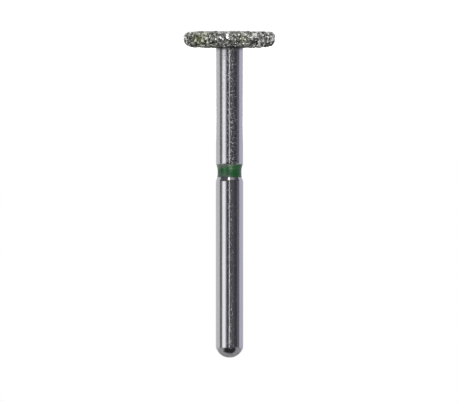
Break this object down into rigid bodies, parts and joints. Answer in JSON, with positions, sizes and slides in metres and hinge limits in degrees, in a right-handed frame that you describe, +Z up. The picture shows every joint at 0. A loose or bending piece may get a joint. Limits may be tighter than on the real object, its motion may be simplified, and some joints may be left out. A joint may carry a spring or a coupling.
{
  "type": "dental bur",
  "caption": "Wheel-shaped diamond bur on a friction-grip shank, with a green grit-code ring, for cutting and grooving teeth or restorations in a turbine handpiece.",
  "frame": {"origin": "centre of the wheel's crown face, at the level of the grain tops, where the bur stands on a flat surface", "axes": "+Z up the axis from the crown to the domed tip of the shank; +X and +Y are any two directions square to it"},
  "size_m": [0.0052, 0.0052, 0.019],
  "materials": {
    "ground_stainless_steel": "fine ground and polished, with faint turning marks and small pits",
    "plated_diamond_grit": "coarse olive-grey diamond crystals in matt nickel plating",
    "green_enamel": "thin glossy translucent green over steel"
  },
  "bodies": {
    "root": {"steel_blank": "ground_stainless_steel", "diamond_coat": "plated_diamond_grit", "grit_code_ring": "green_enamel"}
  },
  "joints": []
}
